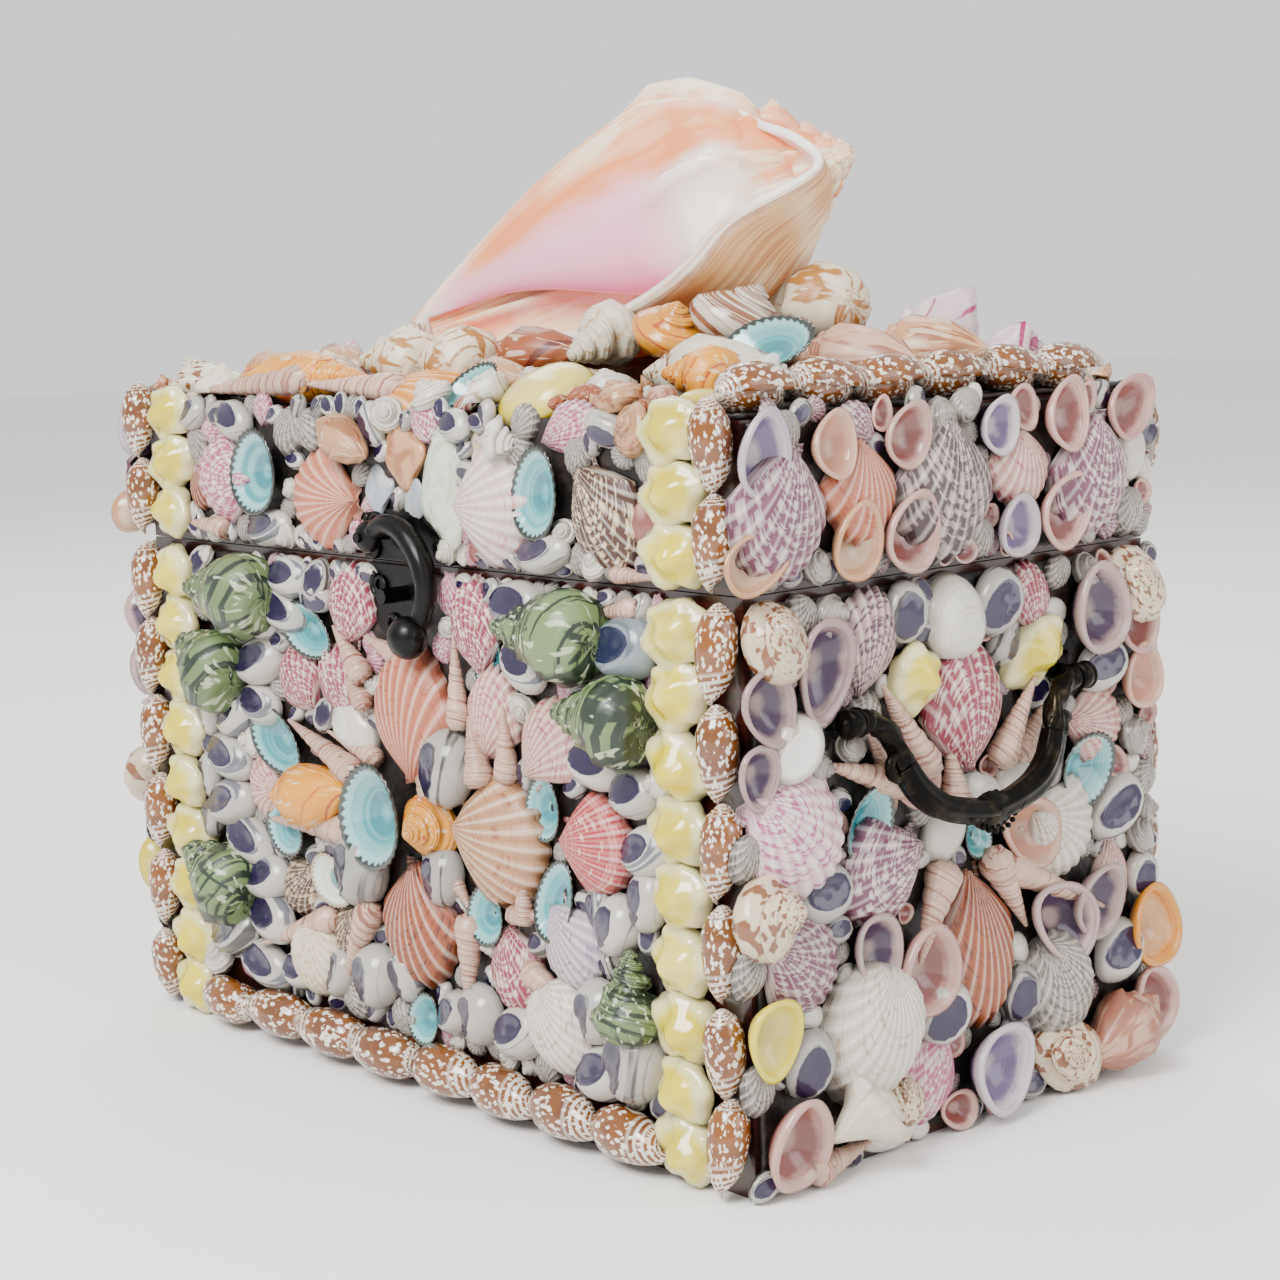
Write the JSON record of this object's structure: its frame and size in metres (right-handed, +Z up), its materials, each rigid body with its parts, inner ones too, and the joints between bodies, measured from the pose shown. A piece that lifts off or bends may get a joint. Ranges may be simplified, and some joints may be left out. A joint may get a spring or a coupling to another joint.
{
  "type": "shell box",
  "caption": "Hinged wooden box covered all over in sea shells, with a conch on the lid, a hook clasp in front and a swinging bail at each end.",
  "frame": {"origin": "centre of the wooden case's underside, on the surface it stands on", "axes": "+X to the right along the front, +Y to the back, +Z up"},
  "size_m": [0.3992, 0.2533, 0.3789],
  "materials": {
    "dark_wood": "dark red-brown stained wood, semi-gloss",
    "black_iron": "black lacquered casting",
    "dark_bronze": "aged dark bronze casting",
    "mixed_shell": "mixed natural sea shells, satin",
    "yellow_cowrie": "lemon yellow money cowries, glossy",
    "brown_olive": "brown tent-marked olive and cone shells, glossy",
    "rose_scallop": "ribbed rose and brown scallops, matt",
    "purple_scallop": "ribbed purple and white scallops, matt",
    "blue_limpet": "pearly turquoise inner face, dark rim",
    "orange_shell": "orange banded shells, satin",
    "cream_shell": "cream speckled shells, satin",
    "pink_conch": "pink glossy mouth, cream and tan outside"
  },
  "bodies": {
    "case": {"bottom_olives_left": "brown_olive", "bottom_olives_right": "brown_olive", "brown_scallop": "rose_scallop", "case_back_shells": "mixed_shell", "case_box": "dark_wood", "case_cowries_left": "yellow_cowrie", "case_cowries_right": "yellow_cowrie", "case_front_shells": "mixed_shell", "case_left_shells": "mixed_shell", "case_olives_left": "brown_olive", "case_olives_right": "brown_olive", "case_right_shells": "mixed_shell", "clasp_case_plate": "black_iron", "end_brown_scallop": "rose_scallop", "end_purple_scallop": "purple_scallop", "end_striped_scallop": "purple_scallop", "handle_left_post_a": "dark_bronze", "handle_left_post_b": "dark_bronze", "handle_right_post_a": "dark_bronze", "handle_right_post_b": "dark_bronze", "hinge_left_case_leaf": "dark_bronze", "hinge_left_pin": "dark_bronze", "hinge_right_case_leaf": "dark_bronze", "hinge_right_pin": "dark_bronze", "orange_top_shell": "orange_shell", "red_scallop": "rose_scallop", "rose_scallop": "rose_scallop", "tan_scallop": "rose_scallop", "turquoise_limpet": "blue_limpet", "yellow_whelk": "orange_shell"},
    "lid": {"banded_auger": "orange_shell", "brown_whelk": "orange_shell", "clasp_lid_plate": "black_iron", "hinge_left_lid_leaf": "dark_bronze", "hinge_right_lid_leaf": "dark_bronze", "large_blue_limpet": "blue_limpet", "lid_back_shells": "mixed_shell", "lid_box": "dark_wood", "lid_cowries_left": "yellow_cowrie", "lid_cowries_right": "yellow_cowrie", "lid_front_shells": "mixed_shell", "lid_left_shells": "mixed_shell", "lid_limpet_left": "blue_limpet", "lid_limpet_right": "blue_limpet", "lid_olives_left": "brown_olive", "lid_olives_right": "brown_olive", "lid_right_shells": "mixed_shell", "lid_top_shells": "mixed_shell", "mottled_scallop": "rose_scallop", "orange_scallop": "orange_shell", "queen_conch": "pink_conch", "salmon_scallop": "rose_scallop", "small_blue_limpet": "blue_limpet", "speckled_cowrie": "cream_shell", "spiky_turban": "cream_shell"},
    "hook": {"clasp_hook": "black_iron"},
    "handle_right": {"handle_right_bail": "dark_bronze"},
    "handle_left": {"handle_left_bail": "dark_bronze"}
  },
  "joints": [
    {"name": "lid_hinge", "type": "hinge", "parent": "case", "child": "lid", "pos_m": [0, 0.111, 0.2], "axis": [-1, 0, 0], "range_deg": [0, 95]},
    {"name": "hook_swing", "type": "hinge", "parent": "lid", "child": "hook", "pos_m": [-0.009, -0.115, 0.21], "axis": [0, -1, 0], "range_deg": [0, 80]},
    {"name": "right_bail_swing", "type": "hinge", "parent": "case", "child": "handle_right", "pos_m": [0.1873, -0.01, 0.156], "axis": [0, -1, 0], "range_deg": [0, 80]},
    {"name": "left_bail_swing", "type": "hinge", "parent": "case", "child": "handle_left", "pos_m": [-0.1873, -0.01, 0.156], "axis": [0, 1, 0], "range_deg": [0, 80]}
  ]
}
